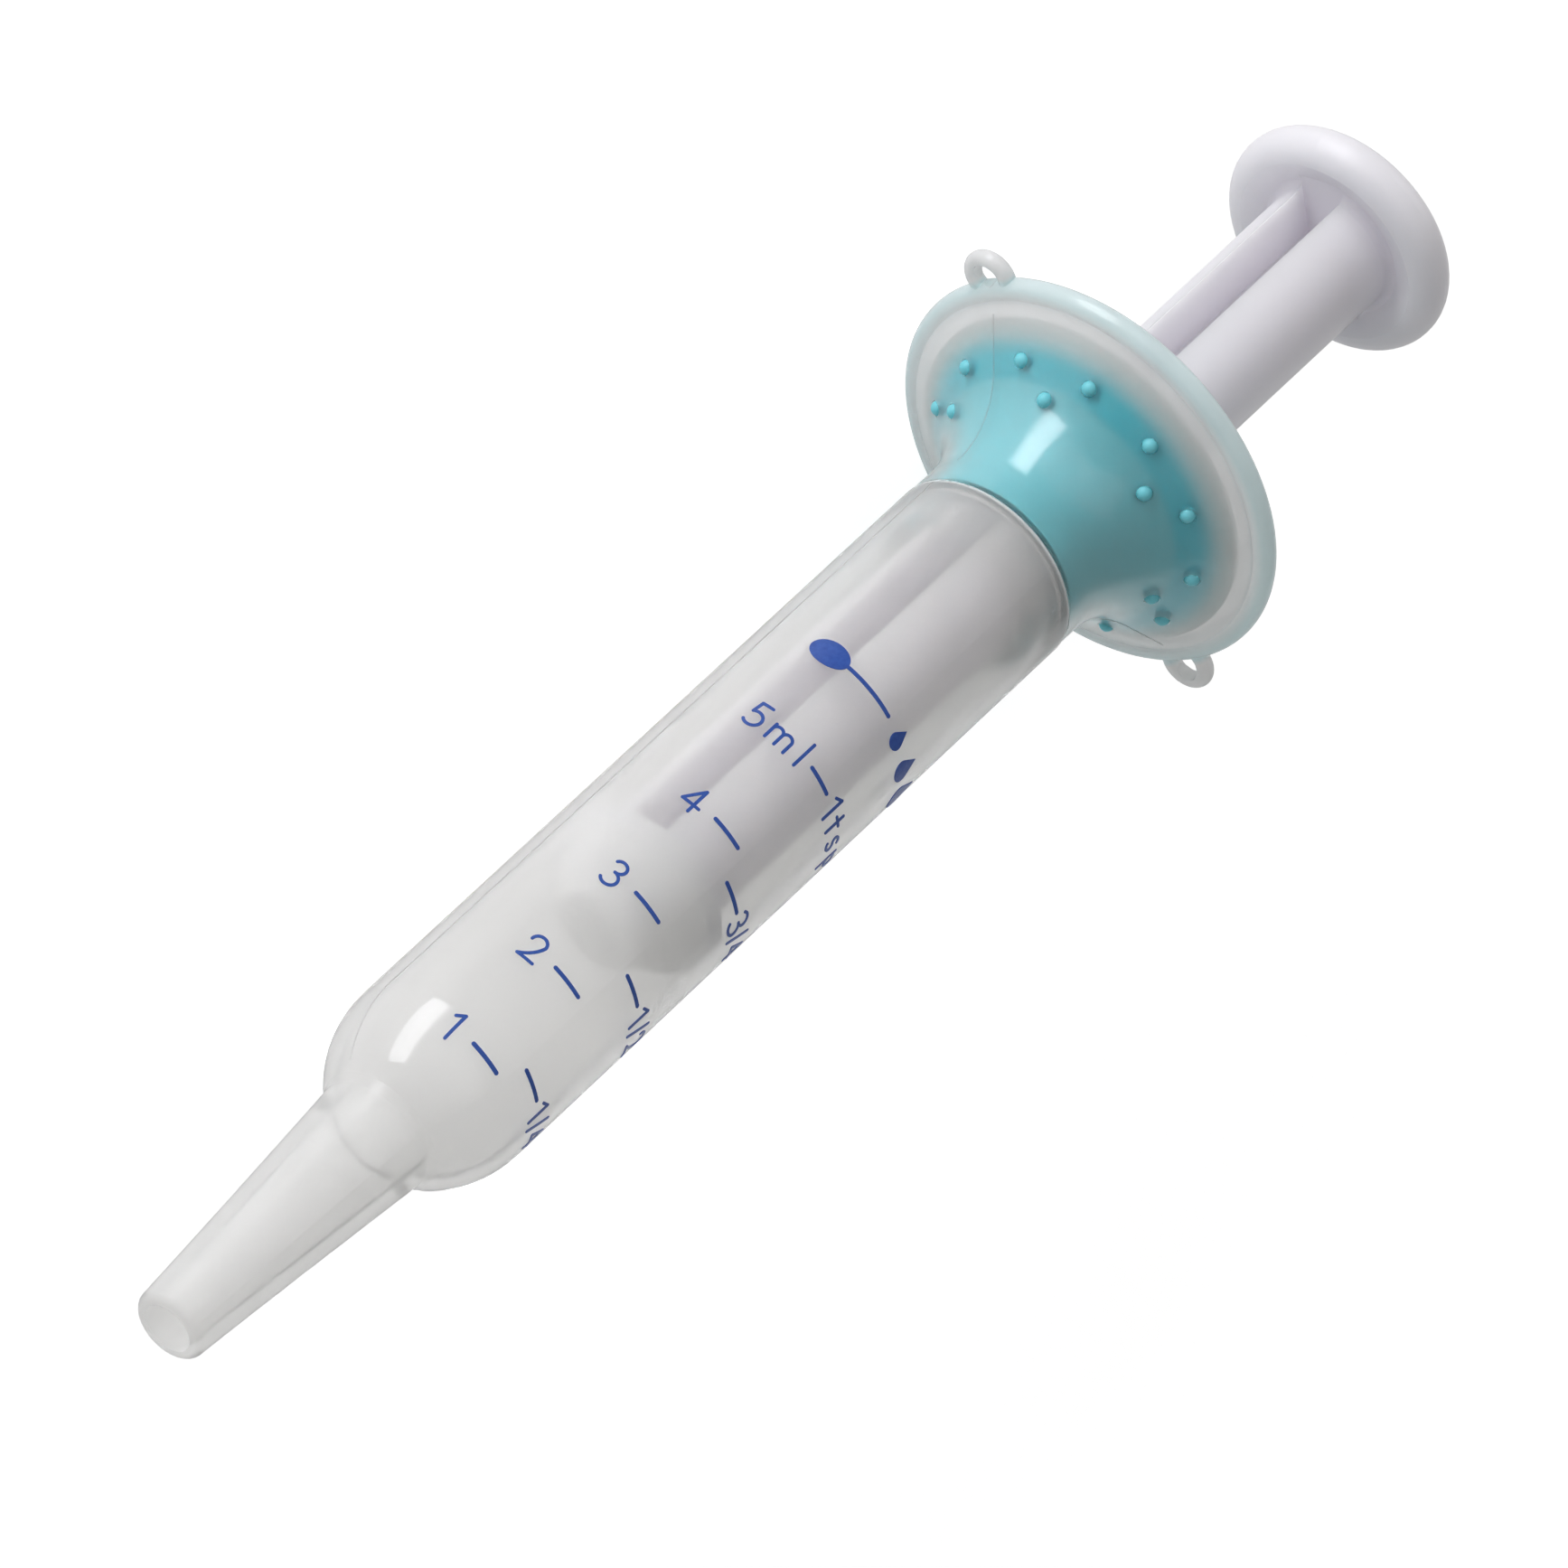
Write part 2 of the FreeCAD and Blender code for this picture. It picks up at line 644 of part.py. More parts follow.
def drop_face(right, up, radius, height):
    """A falling drop: a circle with a point above it."""
    centre = V(-up, right, 0)
    rise = height - radius
    spread = math.acos(radius / rise)
    touch = [centre + V(-math.cos(spread), side * math.sin(spread), 0) * radius for side in (-1, 1)]
    tip = centre + V(-rise, 0, 0)
    edges = [
        Part.Arc(touch[0], centre + V(radius, 0, 0), touch[1]).toShape(),
        Part.LineSegment(touch[1], tip).toShape(),
        Part.LineSegment(tip, touch[0]).toShape(),
    ]
    return Part.Face(Part.Wire(edges))


def oval_face(length, width):
    """A filled oval, length along the reading direction and width across it."""
    outline = Part.Ellipse(V(0, length / 2, 0), V(width / 2, 0, 0), V(0, 0, 0))
    return Part.Face(Part.Wire(outline.toShape()))


def stamp(face, depth, turn):
    """Pushes a flat shape through the tube wall at a depth and an angle from +Z towards +Y."""
    face = face.copy()
    face.translate(V(0, 0, TUBE - STAMP_SINK))
    block = face.extrude(V(0, 0, STAMP_SINK + STAMP_RISE))
    block.rotate(V(0, 0, 0), V(1, 0, 0), -turn)
    block.translate(V(-depth, 0, 0))
    return block


def write_text(text, turns, depth, height):
    """Blocks for the characters of text, each centred at its own angle and on depth."""
    stroke_width = cell("digit_stroke").number
    blocks = []
    for character, turn in zip(text, turns):
        width = GLYPH_WIDTHS[character]
        for stroke in GLYPHS[character]:
            points = [((x - width / 2) * height, (y - 0.5) * height) for x, y in stroke]
            blocks.append(stamp(stroke_face(points, stroke_width), depth, turn))
    return blocks


def tick(depth, turn, length):
    """A dash round the tube, centred at depth and turn."""
    ends = [(-length / 2, 0), (length / 2, 0)]
    return stamp(stroke_face(ends, cell("tick_stroke").number), depth, turn)


def ink_skin():
    """A thin skin on the outside of the tube and shoulder, which holds the ink."""
    front = cell("ink_front_depth").number
    back = cell("ink_back_depth").number
    turn_depth = cell("shoulder_depth").number
    round_radius = cell("shoulder_round").number

    def shoulder(extra):
        centre = V(-turn_depth, 0, TUBE - round_radius)
        reach = round_radius + extra
        start = centre + V(0, 0, reach)
        end = centre + V(turn_depth - front, 0, math.sqrt(reach ** 2 - (turn_depth - front) ** 2))
        middle = centre + ((start - centre) + (end - centre)).normalize() * reach
        return start, middle, end

    low, high = shoulder(0), shoulder(INK)
    edges = [
        Part.LineSegment(V(-back, 0, TUBE), low[0]).toShape(),
        Part.Arc(*low).toShape(),
        Part.LineSegment(low[2], high[2]).toShape(),
        Part.Arc(high[2], high[1], high[0]).toShape(),
        Part.LineSegment(high[0], V(-back, 0, TUBE + INK)).toShape(),
        Part.LineSegment(V(-back, 0, TUBE + INK), V(-back, 0, TUBE)).toShape(),
    ]
    return Part.Face(Part.Wire(edges)).revolve(V(0, 0, 0), V(1, 0, 0), 360)


def make_print(label, blocks, skin):
    """One printed node: the blocks fused, and cut to the thin skin."""
    fused = blocks[0].multiFuse(blocks[1:]).removeSplitter()
    printed = fused.common(skin)
    feature = doc.addObject("Part::Feature", label)
    feature.Label = label
    feature.Shape = Part.makeCompound(printed.Solids)
    feature.Placement = FreeCAD.Placement()
    return feature


def make_prints():
    skin = ink_skin()
    height = cell("digit_height").number
    length = cell("tick_length").number

    def depth_of(volume):
        return cell("first_tick").number + cell("ml_pitch").number * (volume - 1)

    millilitres = []
    for volume in (1, 2, 3, 4):
        millilitres.append(tick(depth_of(volume), ML_TICK_TURN, length))
        millilitres += write_text(str(volume), [ML_NUMERAL_TURN], depth_of(volume), height)
    millilitres.append(tick(depth_of(5), SHARED_TICK_TURN, cell("shared_tick_length").number))
    millilitres += write_text("5ml", FIVE_ML_TURNS, depth_of(5), height)

    teaspoons = write_text("1tsp", ONE_TSP_TURNS, depth_of(5), height)
    for volume, fraction in ((1.25, "1/4"), (2.5, "1/2"), (3.75, "3/4")):
        teaspoons.append(tick(depth_of(volume), TSP_TICK_TURN, length))
        small = cell("fraction_height").number
        teaspoons += write_text(fraction, FRACTION_TURNS, depth_of(volume), small)

    depth = cell("mark_depth").number
    spoon = oval_face(cell("spoon_length").number, cell("spoon_width").number)
    mark = [stamp(spoon, depth, SPOON_TURN)]
    mark += [tick(depth, turn, cell("handle_dash").number) for turn in HANDLE_TURNS]
    for turn, radius in DROPS:
        drop = drop_face(0, -DROP_SINK, radius, radius * DROP_HEIGHT)
        mark.append(stamp(drop, depth, turn))

    return [
        make_print("scale_ml", millilitres, skin),
        make_print("scale_tsp", teaspoons, skin),
        make_print("dose_mark", mark, skin),
    ]


# ---------------------------------------------------------------- build, check, write
pieces = [make_barrel(), make_collar(), make_insert(), make_rod(), make_seal()] + make_prints()
doc.recompute()
for item in doc.Objects:
    if "Invalid" in item.State or "Error" in item.State:
        raise RuntimeError(f"{item.Name} failed: {item.State}")
os.makedirs("parts", exist_ok=True)
for piece in pieces:
    shape = piece.Shape
    if shape.isNull() or not shape.isValid():
        raise RuntimeError(f"{piece.Label} has no valid shape")
    shape.exportStep(f"parts/{piece.Label}.step")
    box = shape.BoundBox
    print(f"{piece.Label}: {len(shape.Solids)} solids, {shape.Volume:.2f} mm3, "
          f"X {box.XMin:.2f}..{box.XMax:.2f} Y {box.YMin:.2f}..{box.YMax:.2f} "
          f"Z {box.ZMin:.2f}..{box.ZMax:.2f}")
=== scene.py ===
"""Looks of the oral syringe: clear barrel, turquoise grip, white plunger, blue scale, on a pale floor.

Lengths are in metres in the frame of the CAD part: the nozzle's outlet is at the origin, +X points out of it, +Z
runs through the middle of the printed scale, and the lanyard loops are on +Y and -Y. A depth is a distance behind
the outlet, and a radius is a distance from the X axis.
"""
import math

import bpy
from mathutils import Matrix, Vector


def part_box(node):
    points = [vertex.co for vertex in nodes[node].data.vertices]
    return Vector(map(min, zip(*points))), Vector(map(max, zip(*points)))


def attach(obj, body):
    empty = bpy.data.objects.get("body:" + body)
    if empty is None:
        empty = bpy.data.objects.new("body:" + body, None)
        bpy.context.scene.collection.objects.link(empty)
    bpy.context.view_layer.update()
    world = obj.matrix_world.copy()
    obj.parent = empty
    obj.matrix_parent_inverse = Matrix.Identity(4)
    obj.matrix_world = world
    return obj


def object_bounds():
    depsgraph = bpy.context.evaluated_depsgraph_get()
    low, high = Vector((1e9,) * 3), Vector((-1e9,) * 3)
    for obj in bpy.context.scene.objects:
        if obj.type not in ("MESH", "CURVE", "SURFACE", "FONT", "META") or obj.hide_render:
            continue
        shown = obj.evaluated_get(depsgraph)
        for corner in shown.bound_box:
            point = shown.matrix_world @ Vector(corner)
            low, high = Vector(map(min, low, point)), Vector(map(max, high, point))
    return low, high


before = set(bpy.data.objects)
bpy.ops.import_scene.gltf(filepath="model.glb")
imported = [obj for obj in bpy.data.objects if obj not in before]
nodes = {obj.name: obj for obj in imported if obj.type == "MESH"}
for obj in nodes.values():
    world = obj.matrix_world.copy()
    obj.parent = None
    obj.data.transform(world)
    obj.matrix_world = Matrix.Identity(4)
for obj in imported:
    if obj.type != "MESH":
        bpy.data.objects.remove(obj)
cad_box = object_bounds()
MM = 0.001

# ---------------------------------------------------------------- colours
PLASTIC = (0.99, 0.985, 0.972)
LIP_GLOW_TEAL = (0.72, 0.90, 0.92)       # painted glow of the grip's turquoise, carried through the clear wall to the collar's rolled lip
# painted lighter teal of the dot tops, which offsets their shading
LIT_DOT_TEAL = (0.180, 0.640, 0.730)
FEATHER_GREY = (0.80, 0.81, 0.78)   # of the soft grip where it thins out
# pairs of close shades, which noise mixes
TEAL = (0.060, 0.575, 0.695), (0.075, 0.605, 0.725)
WHITE = (0.785, 0.765, 0.805), (0.825, 0.805, 0.845)
SEAL_WHITE = (0.90, 0.90, 0.94), (0.93, 0.93, 0.97)
INK = (0.020, 0.070, 0.340), (0.030, 0.095, 0.400)
FLOOR_GREY = (0.50, 0.50, 0.50), (0.52, 0.52, 0.52)

# ---------------------------------------------------------------- where a look changes, from start to end
MOUTH_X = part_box("barrel")[0][0]
# painted glow: the barrel turns milky just inside the mouth, standing in for the bright edge that light carried
# along the wall gives it
MOUTH_GLOW_BAND = MOUTH_X + 0.30 * MM, MOUTH_X + 0.50 * MM
HAZY_SPIGOT = -84 * MM, -76 * MM    # places along X on the barrel
HAZY_NOZZLE = -36 * MM, -20 * MM
SATIN_NOZZLE = -23 * MM, -20 * MM
COLLAR_SPIGOT = -86.6 * MM, -86.2 * MM
FEATHER_EDGE = 10.6 * MM, 12.9 * MM   # radii on the flange
MILKY_RIM = 11.4 * MM, 13.2 * MM
# radii of the painted turquoise glow on the lip
LIP_GLOW_SPAN = 13.6 * MM, 14.6 * MM
LOOPS = 15.0 * MM, 15.4 * MM
DOT_TOPS = -0.50 * MM, -0.45 * MM   # heights above the flare's outer cone
OUTER_FACES = -0.3, -0.1            # cosines between a face and straight away from the axis
MOST_NOISE = 0.3, 0.7               # values where noise mostly lies
NO_TO_YES = 0.0, 1.0

FLARE_ANGLE = math.radians(54.9)    # of the flare's cone from the axis
FLARE_OFFSET = 71.439 * MM          # so that a point on the flare's outer cone measures 0
SKIN_WEIGHT = 0.8                   # of the clear plastic's mirroring skin
NOZZLE_SKIN = 0.2                   # what is left of it on the satin nozzle


# ---------------------------------------------------------------- material helpers
class Shader:
    """A new material's node tree, with its Principled shader and short ways to add nodes."""

    def __init__(self, name):
        self.material = bpy.data.materials.new(name)
        self.material.use_nodes = True
        self.tree = self.material.node_tree
        self.main = next(n for n in self.tree.nodes if n.type == "BSDF_PRINCIPLED")
        coordinates = self.tree.nodes.new("ShaderNodeTexCoord").outputs
        self.place = coordinates["Object"]
        self.facing = coordinates["Normal"]

    def set(self, **values):
        for name, value in values.items():
            self.main.inputs[name.replace("_", " ")].default_value = value

    def feed(self, source, name):
        self.tree.links.new(source, self.main.inputs[name])

    def fill(self, values, sockets):
        """Gives each socket its value, which is a number, a vector, a colour or another node's output."""
        for value, socket in zip(values, sockets):
            if isinstance(value, bpy.types.NodeSocket):
                self.tree.links.new(value, socket)
            elif socket.type == "RGBA":
                socket.default_value = (*value, 1)
            elif value is not None:
                socket.default_value = value

    def noise(self, feature, detail=3.0, stretch=None):
        """Noise whose blobs are about feature metres across. stretch lengthens them along X."""
        node = self.tree.nodes.new("ShaderNodeTexNoise")
        node.inputs["Scale"].default_value = 1 / feature
        node.inputs["Detail"].default_value = detail
        source = self.place
        if stretch:
            mapping = self.tree.nodes.new("ShaderNodeMapping")
            mapping.inputs["Scale"].default_value = (1 / stretch, 1, 1)
            self.tree.links.new(self.place, mapping.inputs["Vector"])
            source = mapping.outputs["Vector"]
        self.tree.links.new(source, node.inputs["Vector"])
        return node.outputs["Fac"]

    def ramp(self, source, span, low, high):
        """low up to the start of span, high from its end on, and even in between."""
        node = self.tree.nodes.new("ShaderNodeMapRange")
        names = ("Value", "From Min", "From Max", "To Min", "To Max")
        self.fill((source, *span, low, high), [node.inputs[name] for name in names])
        return node.outputs["Result"]

    def spread(self, noise, low, high):
        """Noise stretched to low..high and held there."""
        return self.ramp(noise, MOST_NOISE, low, high)

    def mix(self, share, first, second):
        """A colour between first and second, by share."""
        node = self.tree.nodes.new("ShaderNodeMix")
        node.data_type = "RGBA"
        self.fill((first, second), [s for s in node.inputs if s.type == "RGBA"])
        self.tree.links.new(share, node.inputs["Factor"])
        return next(s for s in node.outputs if s.type == "RGBA")

    def combine(self, how, first, second):
        """The output of a Math node."""
        node = self.tree.nodes.new("ShaderNodeMath")
        node.operation = how
        self.fill((first, second), node.inputs)
        return node.outputs["Value"]

    def vector(self, how, first, second=None):
        """The output of a Vector Math node: a number for DOT_PRODUCT and LENGTH, else a vector."""
        node = self.tree.nodes.new("ShaderNodeVectorMath")
        node.operation = how
        self.fill((first, second), node.inputs)
        return node.outputs["Value" if how in ("DOT_PRODUCT", "LENGTH") else "Vector"]

    def across(self):
        """The part of the place that points away from the syringe's axis."""
        return self.vector("MULTIPLY", self.place, (0.0, 1.0, 1.0))

    def radius(self):
        return self.vector("LENGTH", self.across())

    def forward(self):
        """How far along +X a point is."""
        return self.vector("DOT_PRODUCT", self.place, (1.0, 0.0, 0.0))

    def bump(self, source, height):
        """Raises the surface by source times height, in its shading."""
        node = self.tree.nodes.new("ShaderNodeBump")
        node.inputs["Distance"].default_value = height
        self.tree.links.new(source, node.inputs["Height"])
        self.feed(node.outputs["Normal"], "Normal")


# ---------------------------------------------------------------- materials
def natural_polypropylene(name, clear, skin_roughness):
    """A new shader of hazy clear plastic under a smooth moulded skin, and its see-through share.

    The wall bends light very little and only blurs it, and the skin does the mirroring. clear is the
    share of light that goes straight through.
    """
    shader = Shader(name)
    shader.set(Base_Color=(*PLASTIC, 1), IOR=1.06, Coat_Weight=SKIN_WEIGHT, Coat_IOR=1.5)
    shader.set(Coat_Roughness=skin_roughness)
    shader.set(Subsurface_Weight=1.0, Subsurface_Scale=2.0 * MM, Subsurface_Radius=(1.0, 1.0, 1.0))
    clouds = shader.noise(6 * MM, stretch=4)
    shader.feed(shader.spread(clouds, 0.28, 0.35), "Roughness")
    shader.bump(shader.noise(2.5 * MM, detail=2), 0.004 * MM)
    return shader, shader.spread(clouds, clear + 0.02, clear - 0.02)


def barrel_polypropylene():
    """Clearest in the tube, hazier in the nozzle's thick wall and at the spigot, and milky round the mouth, which
    paints the glow of light carried along the wall to its cut edge.
    """
    shader, clear = natural_polypropylene("barrel_polypropylene", clear=0.82, skin_roughness=0.03)
    nozzle = shader.ramp(shader.forward(), HAZY_NOZZLE, 0.0, -0.12)
    spigot = shader.ramp(shader.forward(), HAZY_SPIGOT, -0.12, 0.0)
    # painted glow of the mouth's edge, made as less see-through plastic
    mouth = shader.ramp(shader.forward(), MOUTH_GLOW_BAND, -0.7, 0.0)
    front = shader.combine("ADD", clear, nozzle)
    back = shader.combine("ADD", spigot, mouth)
    shader.feed(shader.combine("ADD", front, back), "Transmission Weight")
    outward = shader.vector("DOT_PRODUCT", shader.facing, shader.vector("NORMALIZE", shader.across()))
    skin = shader.ramp(outward, OUTER_FACES, 0.0, SKIN_WEIGHT)
    satin_nozzle = shader.ramp(shader.forward(), SATIN_NOZZLE, 1.0, NOZZLE_SKIN)
    shader.feed(shader.combine("MULTIPLY", skin, satin_nozzle), "Coat Weight")
    return shader.material


def collar_polypropylene():
    """Clear over the grip, and milky along the lip, where a painted turquoise glow stands in for the grip's light
    carried through the clear wall.
    """
    shader, clear = natural_polypropylene("collar_polypropylene", clear=0.97, skin_roughness=0.12)
    radius = shader.radius()
    rim = shader.ramp(radius, MILKY_RIM, 0.0, -0.63)
    spigot = shader.ramp(shader.forward(), COLLAR_SPIGOT, 0.0, 0.01)
    haze = shader.combine("ADD", rim, spigot)
    shader.feed(shader.combine("ADD", clear, haze), "Transmission Weight")
    lip = shader.ramp(radius, LIP_GLOW_SPAN, 0.0, 1.0)
    before_loops = shader.ramp(radius, LOOPS, 1.0, 0.0)
    # painted glow: the lip's colour is pulled towards turquoise, short of the loops
    lip_glow = shader.combine("MULTIPLY", lip, before_loops)
    shader.feed(shader.mix(lip_glow, PLASTIC, LIP_GLOW_TEAL), "Base Color")
    return shader.material


def parting_polypropylene():
    """The barrel's plastic where the halves of the mould met, a little milkier than the wall."""
    shader, clear = natural_polypropylene("parting_polypropylene", clear=0.55, skin_roughness=0.08)
    shader.feed(clear, "Transmission Weight")
    return shader.material


def turquoise_elastomer():
    """Soft-touch rubber with a fine matt grain. It pales at its feather edge, and the tops of its grip dots get a
    painted lighter teal, which offsets their shading.
    """
    shader = Shader("turquoise_elastomer")
    shader.set(IOR=1.5, Subsurface_Weight=0.3, Subsurface_Scale=1.0 * MM, Subsurface_Radius=(0.6, 1.0, 1.0))
    radius = shader.radius()
    slope_x = shader.combine("MULTIPLY", shader.forward(), math.sin(FLARE_ANGLE))
    slope_out = shader.combine("MULTIPLY", radius, math.cos(FLARE_ANGLE))
    slope = shader.combine("ADD", slope_x, slope_out)
    dots = shader.ramp(shader.combine("ADD", slope, FLARE_OFFSET), DOT_TOPS, 0.0, 1.0)
    edge = shader.combine("SUBTRACT", shader.ramp(radius, FEATHER_EDGE, 0.0, 1.0), dots)
    body = shader.mix(shader.noise(4 * MM), *TEAL)
    faded = shader.mix(shader.combine("MAXIMUM", edge, 0.0), body, FEATHER_GREY)
    # painted light: the dot tops are lightened against their own shade
    shader.feed(shader.mix(dots, faded, LIT_DOT_TEAL), "Base Color")
    shader.feed(shader.spread(shader.noise(1.5 * MM), 0.42, 0.52), "Roughness")
    shader.bump(shader.noise(0.25 * MM, detail=4), 0.01 * MM)
    return shader.material


def white_polyethylene():
    """White moulded plastic, faintly lilac, satin, with long flow streaks."""
    shader = Shader("white_polyethylene")
    shader.set(IOR=1.5, Subsurface_Weight=1.0, Subsurface_Scale=4.0 * MM, Subsurface_Radius=(1.0, 0.97, 0.95))
    shader.feed(shader.mix(shader.noise(5 * MM, stretch=6), *WHITE), "Base Color")
    shader.feed(shader.spread(shader.noise(2 * MM, stretch=5), 0.30, 0.40), "Roughness")
    shader.bump(shader.noise(1.2 * MM), 0.012 * MM)
    return shader.material


def seal_polyethylene():
    """Softer natural plastic of the piston, slightly translucent."""
    shader = Shader("seal_polyethylene")
    shader.set(IOR=1.5, Subsurface_Weight=1.0, Subsurface_Scale=4.0 * MM, Subsurface_Radius=(1.0, 1.0, 1.0))
    shader.feed(shader.mix(shader.noise(3 * MM), *SEAL_WHITE), "Base Color")
    shader.feed(shader.spread(shader.noise(1.5 * MM), 0.34, 0.44), "Roughness")
    shader.bump(shader.noise(0.8 * MM), 0.01 * MM)
    return shader.material


def blue_ink():
    """Screen-printed ink, uneven in cover, slightly glossy."""
    shader = Shader("blue_ink")
    shader.set(IOR=1.5)
    cover = shader.spread(shader.noise(0.35 * MM, detail=4), 0.0, 1.0)
    shader.feed(shader.mix(cover, *INK), "Base Color")
    shader.feed(shader.spread(shader.noise(0.2 * MM), 0.28, 0.42), "Roughness")
    shader.bump(shader.noise(0.12 * MM, detail=2), 0.008 * MM)
    return shader.material


def give(material, *names):
    """Puts one material on CAD nodes."""
    for name in names:
        mesh = nodes[name].data
        mesh.materials.clear()
        mesh.materials.append(material)


give(barrel_polypropylene(), "barrel")
give(collar_polypropylene(), "flange_collar")
give(turquoise_elastomer(), "grip_insert")
give(white_polyethylene(), "plunger_rod")
give(seal_polyethylene(), "piston_seal")
give(blue_ink(), "scale_ml", "scale_tsp", "dose_mark")


# ---------------------------------------------------------------- mould parting lines
TUBE_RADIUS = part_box("barrel")[1][2]
SHOULDER_DEPTH = 27.8 * MM          # where the shoulder's arc meets the tube
SHOULDER_ROUND = 8.8 * MM
SHOULDER_TURN = math.radians(40)    # how far round the shoulder's arc its line goes
MOUTH_MARGIN = 0.5 * MM             # between the line's end and the mouth
FLARE_START = 88.2 * MM
FLARE_ROUND = 7.8 * MM
COLLAR_NECK = 7.02 * MM             # radius where the flare starts
CONE_RUN = 3.4 * MM                 # how far up the flare's cone its line goes
RIDGE = 0.05 * MM                   # height of a line
SHOULDER_STEPS, FLARE_STEPS = 8, 12


def arc_points(depth, radius, bend, turn, steps):
    """(depth, radius) points on an arc that leaves a point parallel to the axis and goes round by turn.

    bend is the arc's radius, below zero where the arc curves towards the axis. A turn below zero goes
    towards the nozzle.
    """
    turns = [turn * step / steps for step in range(steps + 1)]
    return [(depth + abs(bend) * math.sin(t), radius + bend * (1 - math.cos(t))) for t in turns]


def add_parting_line(name, outline, material):
    """A fine ridge along outline, (depth, radius) points, on the -Y and +Y sides, where the loops are."""
    curve = bpy.data.curves.new(name, "CURVE")
    curve.dimensions = "3D"
    curve.bevel_depth = RIDGE
    for side in (-1, 1):
        spline = curve.splines.new("POLY")
        spline.points.add(len(outline) - 1)
        for point, (depth, radius) in zip(spline.points, outline):
            point.co = (-depth, side * radius, 0, 1)
    curve.materials.append(material)
    line = bpy.data.objects.new(name, curve)
    bpy.context.scene.collection.objects.link(line)
    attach(line, "barrel_assembly")


def add_parting_lines():
    material = parting_polypropylene()
    shoulder = arc_points(SHOULDER_DEPTH, TUBE_RADIUS, -SHOULDER_ROUND, -SHOULDER_TURN, SHOULDER_STEPS)
    tube_end = (-MOUTH_X - MOUTH_MARGIN, TUBE_RADIUS)
    add_parting_line("barrel_parting_line", [*reversed(shoulder), tube_end], material)
    flare = arc_points(FLARE_START, COLLAR_NECK, FLARE_ROUND, FLARE_ANGLE, FLARE_STEPS)
    depth, radius = flare[-1]
    rim = (depth + CONE_RUN * math.cos(FLARE_ANGLE), radius + CONE_RUN * math.sin(FLARE_ANGLE))
    add_parting_line("collar_parting_line", [*flare, rim], material)


add_parting_lines()


# ---------------------------------------------------------------- camera
LOOK_AT_DEPTH = 62.5 * MM           # where the line of sight meets the syringe's axis
SIDE_STEP = 1.406 * MM              # how far beside the axis it passes
DISTANCE = 0.947
TILT = math.radians(34.8)           # of the barrel towards the camera
SCALE_TURN = math.radians(25.5)     # of the scale's middle away from the camera, about the axis
ROLL = math.radians(43)             # of the barrel above the horizontal of the picture
LENS, SENSOR = 335.4, 36.0          # millimetres
CLIP_START = 0.05

nearer = Vector((0, -math.sin(SCALE_TURN), math.cos(SCALE_TURN)))
beside = Vector((0, math.cos(SCALE_TURN), math.sin(SCALE_TURN)))
to_camera = Vector((math.sin(TILT), 0, 0)) + math.cos(TILT) * nearer
along = Vector((-math.cos(TILT), 0, 0)) + math.sin(TILT) * nearer
right = math.cos(ROLL) * along + math.sin(ROLL) * beside
up = math.sin(ROLL) * along - math.cos(ROLL) * beside
aim = Vector((-LOOK_AT_DEPTH, 0, 0)) + SIDE_STEP * beside


def add_camera():
    data = bpy.data.cameras.new("camera")
    data.lens = LENS
    data.sensor_width = SENSOR
    data.clip_start = CLIP_START
    camera = bpy.data.objects.new("camera", data)
    bpy.context.scene.collection.objects.link(camera)
    turn = Matrix((right, up, to_camera)).transposed().to_4x4()
    camera.matrix_world = Matrix.Translation(aim + DISTANCE * to_camera) @ turn
    bpy.context.scene.camera = camera


add_camera()


# ---------------------------------------------------------------- floor and light
FLOOR_HALF = 3.0
FLOOR_GAP = 0.2 * MM                # under the flange's lip
GLOW_SEEN = 0.34                    # of the floor, added for the camera alone
GLOW_ROUND = 0.44                   # of the floor, for the camera, mirroring and clear plastic
GLOW_DIFFUSE = 0.20                 # of the floor, on matt surfaces


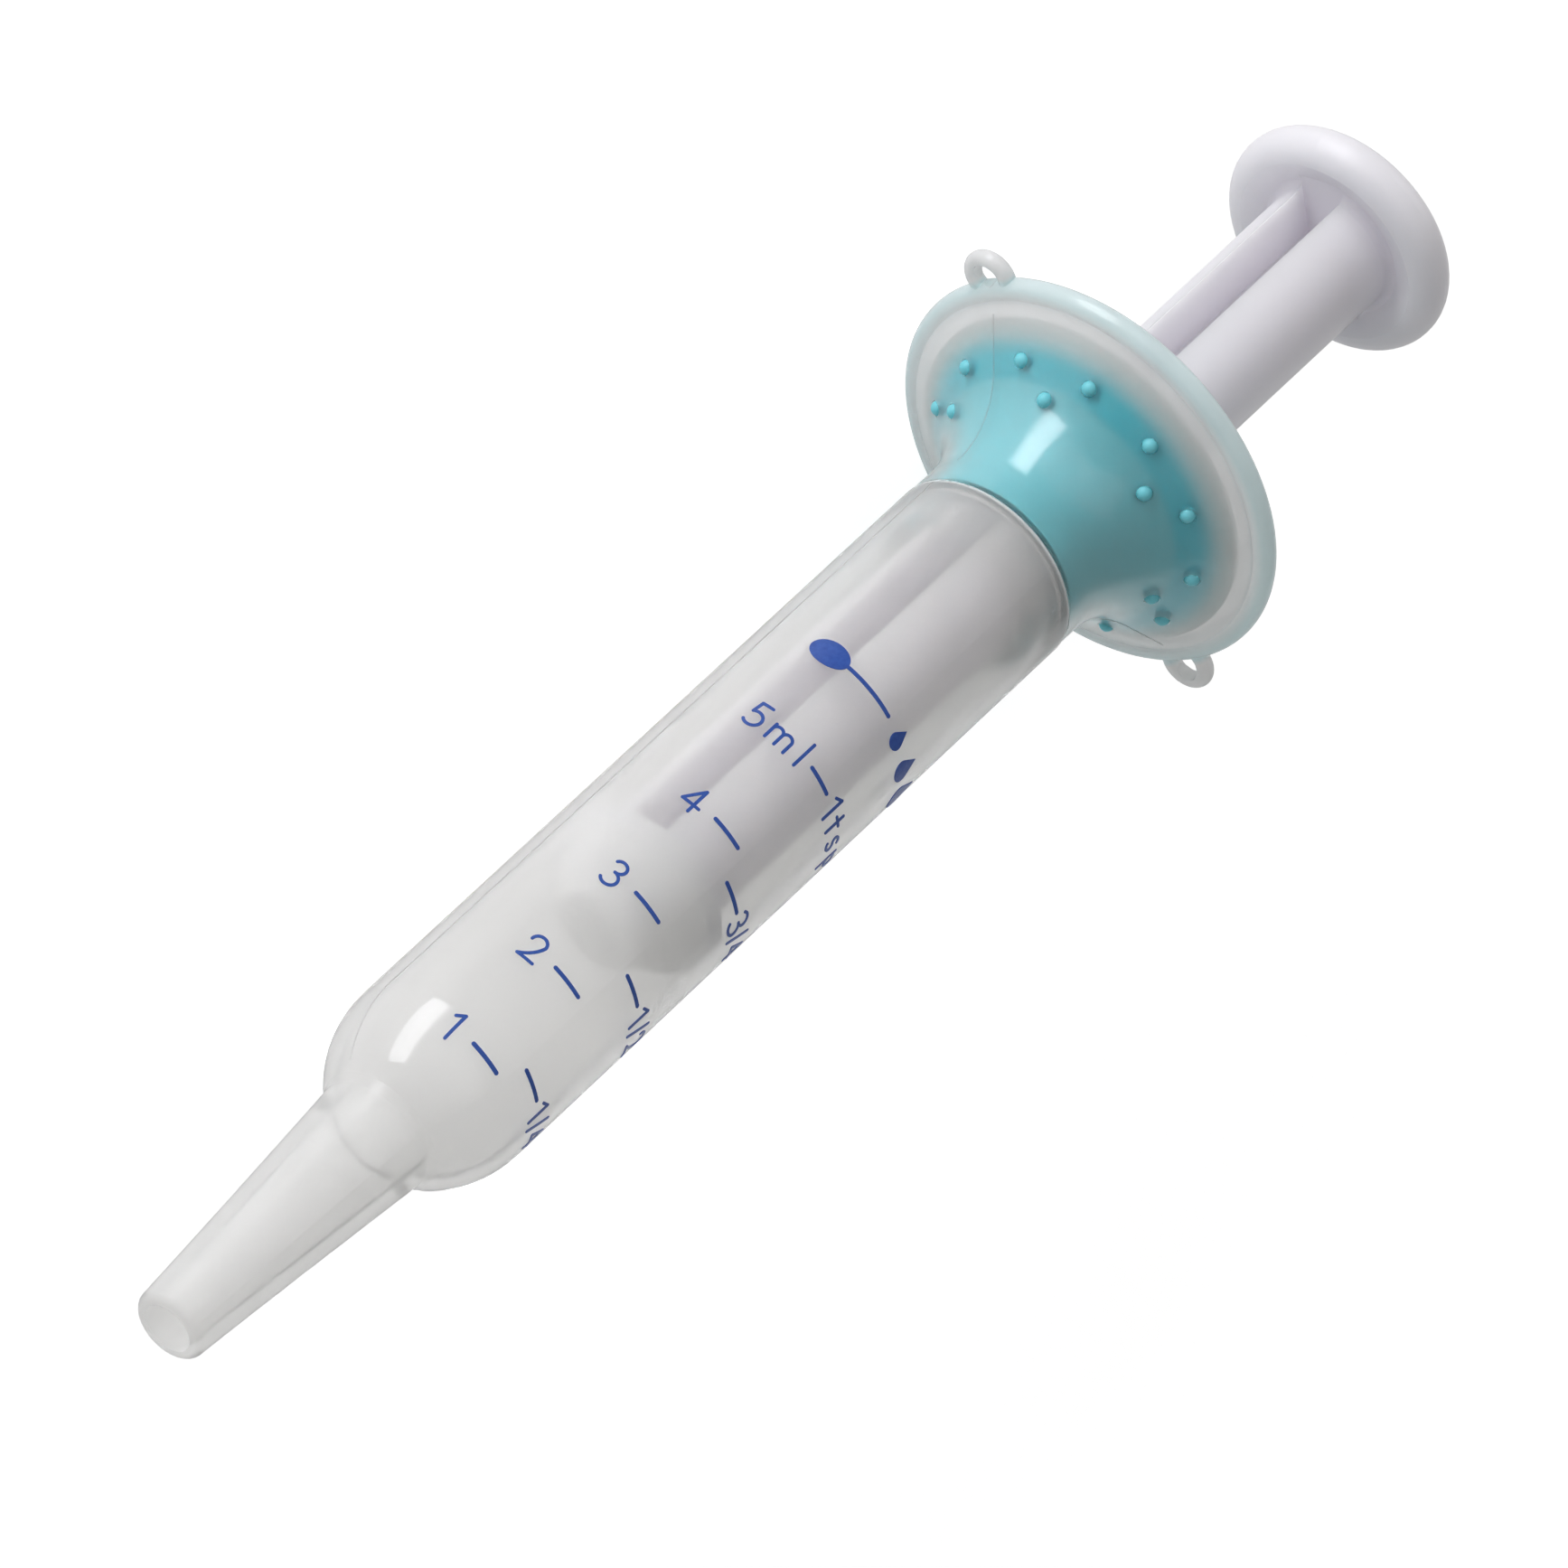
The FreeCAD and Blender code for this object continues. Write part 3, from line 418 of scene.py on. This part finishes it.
def add_floor():
    """A large pale floor under the flange and the barrel, which gives off some light of its own."""
    height = cad_box[0][2] - FLOOR_GAP
    corners = [(x * FLOOR_HALF, y * FLOOR_HALF, height) for x, y in ((-1, -1), (1, -1), (1, 1), (-1, 1))]
    mesh = bpy.data.meshes.new("floor")
    mesh.from_pydata(corners, [], [(0, 1, 2, 3)])
    floor = bpy.data.objects.new("floor", mesh)
    bpy.context.scene.collection.objects.link(floor)
    shader = Shader("pale_floor")
    shader.set(Roughness=0.9, Specular_IOR_Level=0.1, Emission_Color=(1, 1, 1, 1))
    shader.feed(shader.mix(shader.noise(0.4), *FLOOR_GREY), "Base Color")
    ray = shader.tree.nodes.new("ShaderNodeLightPath").outputs
    glow = shader.ramp(ray["Is Diffuse Ray"], NO_TO_YES, GLOW_ROUND, GLOW_DIFFUSE)
    seen = shader.ramp(ray["Is Camera Ray"], NO_TO_YES, 0.0, GLOW_SEEN)
    shader.feed(shader.combine("ADD", glow, seen), "Emission Strength")
    mesh.materials.append(shader.material)


def add_softbox(name, direction, distance, size, power, colour=(1, 1, 1)):
    """An area light that faces the middle of the syringe from a direction."""
    data = bpy.data.lights.new(name, "AREA")
    data.shape = "RECTANGLE"
    data.size, data.size_y = size
    data.energy = power
    data.color = colour
    light = bpy.data.objects.new(name, data)
    bpy.context.scene.collection.objects.link(light)
    away = Vector(direction).normalized()
    turn = away.to_track_quat("Z", "Y").to_matrix().to_4x4()
    light.matrix_world = Matrix.Translation(aim + away * distance) @ turn


def add_light():
    world = bpy.data.worlds.new("studio")
    world.use_nodes = True
    background = next(n for n in world.node_tree.nodes if n.type == "BACKGROUND")
    background.inputs["Color"].default_value = (0.98, 0.98, 0.97, 1)
    background.inputs["Strength"].default_value = 0.26
    bpy.context.scene.world = world
    add_softbox("key", direction=(0.06, -1.0, 0.2), distance=0.9, size=(1.0, 0.34), power=6.2,
                colour=(0.97, 0.97, 1.0))
    add_softbox("fill", direction=(0.1, -1.0, 1.1), distance=1.1, size=(0.8, 0.8), power=1.0)
    add_softbox("top", direction=(0.2, -0.1, 1.0), distance=1.2, size=(0.9, 0.9), power=1.2)
    add_softbox("back", direction=(-1.0, -0.1, 0.5), distance=1.1, size=(0.7, 0.5), power=1.3)


add_floor()
add_light()
bpy.context.scene.view_settings.view_transform = "Standard"
